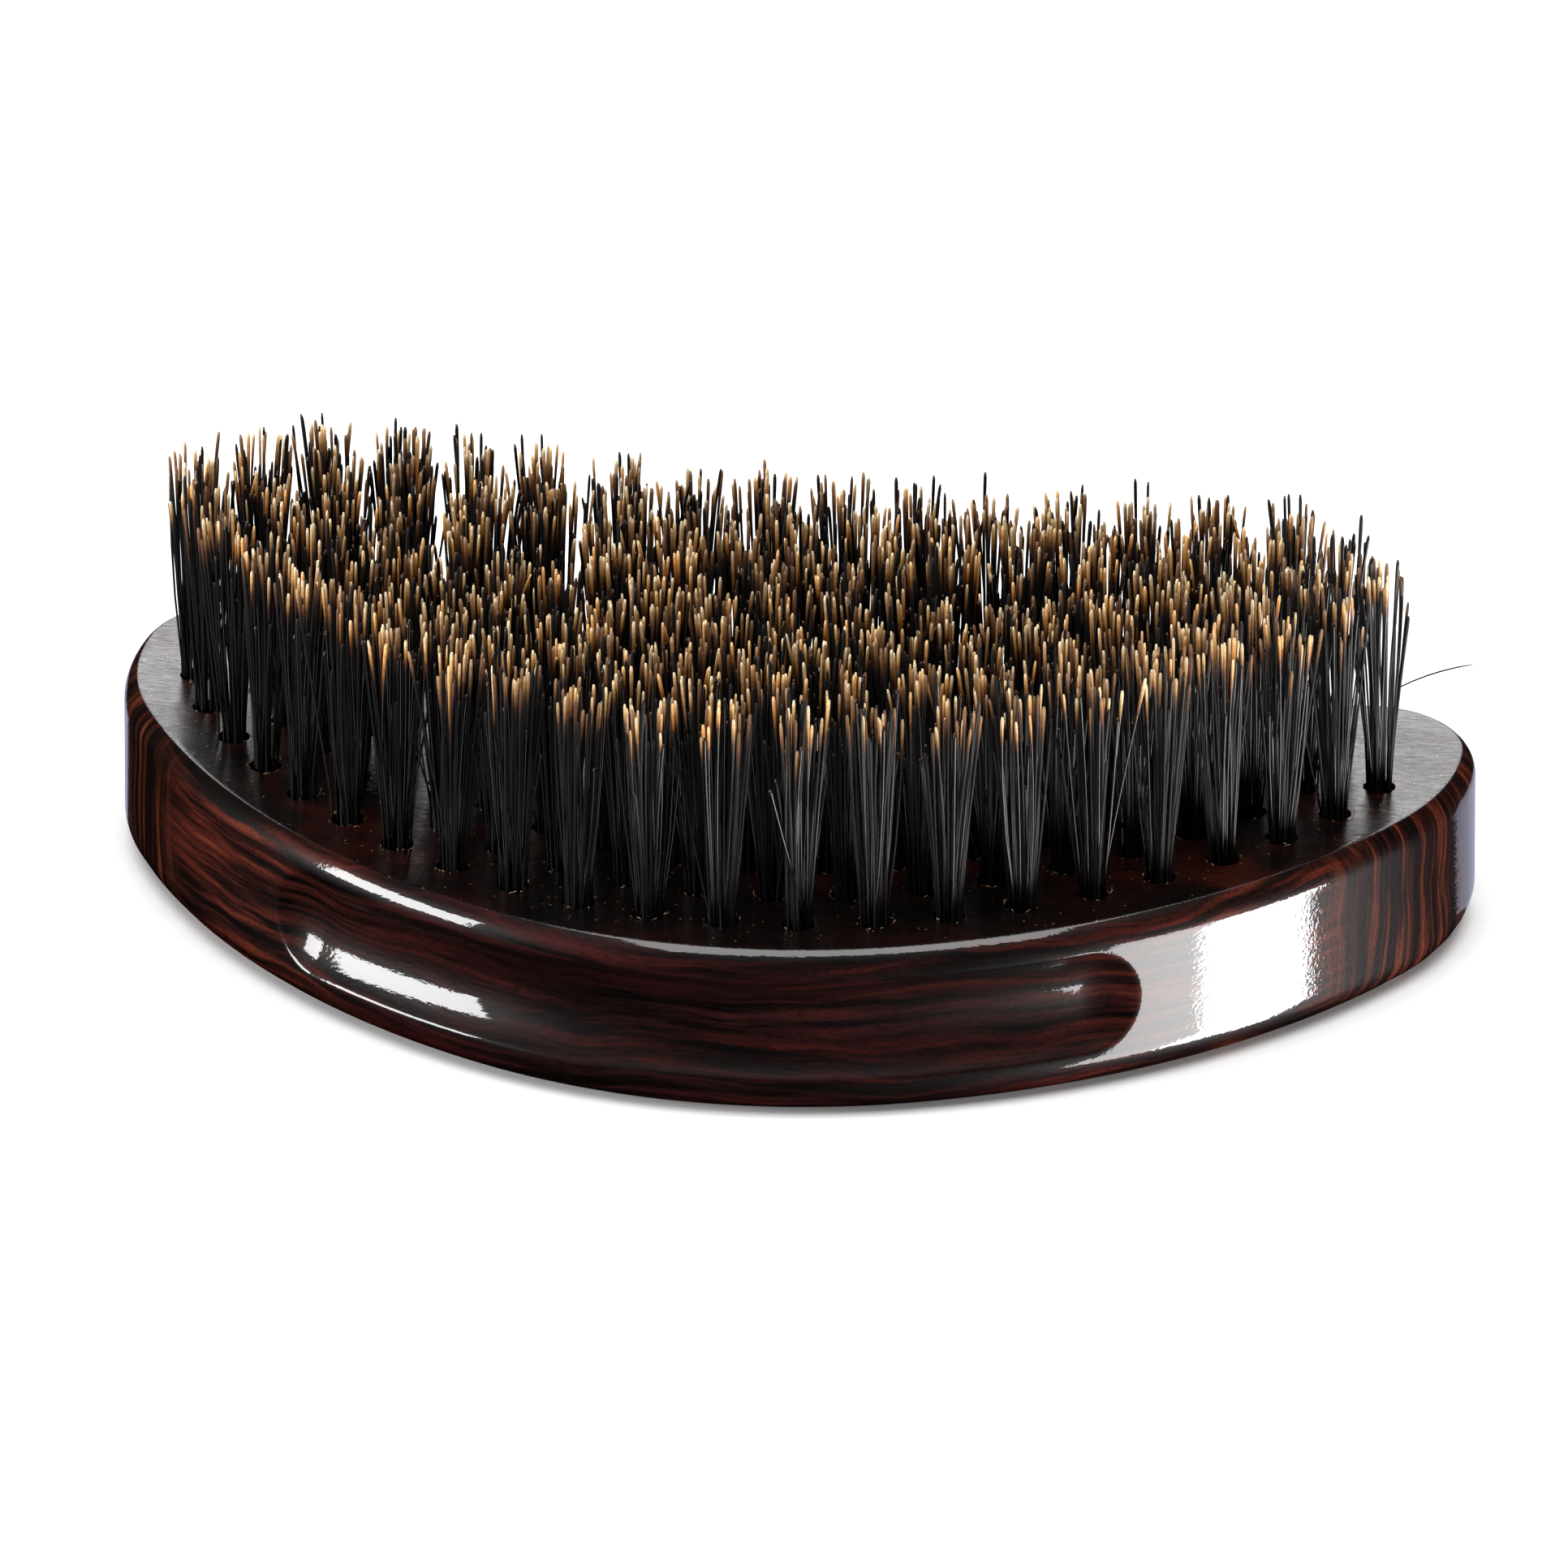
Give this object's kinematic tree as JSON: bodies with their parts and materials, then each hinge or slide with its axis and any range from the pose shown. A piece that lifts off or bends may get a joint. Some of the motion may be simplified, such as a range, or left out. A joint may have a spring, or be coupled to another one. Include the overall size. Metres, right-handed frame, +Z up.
{
  "type": "beard brush",
  "caption": "Half-moon wooden palm brush with finger grooves along its sides and tufts of stiff bristle set in drilled holes in its flat face.",
  "frame": {"origin": "middle of the underside of the block, on the surface the brush lies on", "axes": "+X along the block's long side, +Y from the rounded front to the hollow back, +Z up along the bristles"},
  "size_m": [0.108, 0.0554, 0.0338],
  "materials": {
    "lacquered_wood": "gloss",
    "bristle": "satin",
    "anchor_wire": "satin"
  },
  "bodies": {
    "root": {"block": "lacquered_wood", "front_row_1_left_tufts": "bristle", "front_row_1_right_tufts": "bristle", "front_row_2_left_tufts": "bristle", "front_row_2_right_tufts": "bristle", "front_row_3_left_tufts": "bristle", "front_row_3_right_tufts": "bristle", "front_row_4_left_tufts": "bristle", "front_row_4_right_tufts": "bristle", "middle_row_tufts": "bristle", "back_row_4_left_tufts": "bristle", "back_row_4_right_tufts": "bristle", "back_row_3_left_tufts": "bristle", "back_row_3_right_tufts": "bristle", "back_row_2_left_tufts": "bristle", "back_row_2_right_tufts": "bristle", "back_row_1_left_tufts": "bristle", "back_row_1_right_tufts": "bristle", "front_row_1_left_anchors": "anchor_wire", "front_row_1_right_anchors": "anchor_wire", "front_row_2_left_anchors": "anchor_wire", "front_row_2_right_anchors": "anchor_wire", "front_row_3_left_anchors": "anchor_wire", "front_row_3_right_anchors": "anchor_wire", "front_row_4_left_anchors": "anchor_wire", "front_row_4_right_anchors": "anchor_wire", "middle_row_anchors": "anchor_wire", "back_row_4_left_anchors": "anchor_wire", "back_row_4_right_anchors": "anchor_wire", "back_row_3_left_anchors": "anchor_wire", "back_row_3_right_anchors": "anchor_wire", "back_row_2_left_anchors": "anchor_wire", "back_row_2_right_anchors": "anchor_wire", "back_row_1_left_anchors": "anchor_wire", "back_row_1_right_anchors": "anchor_wire"}
  },
  "joints": []
}
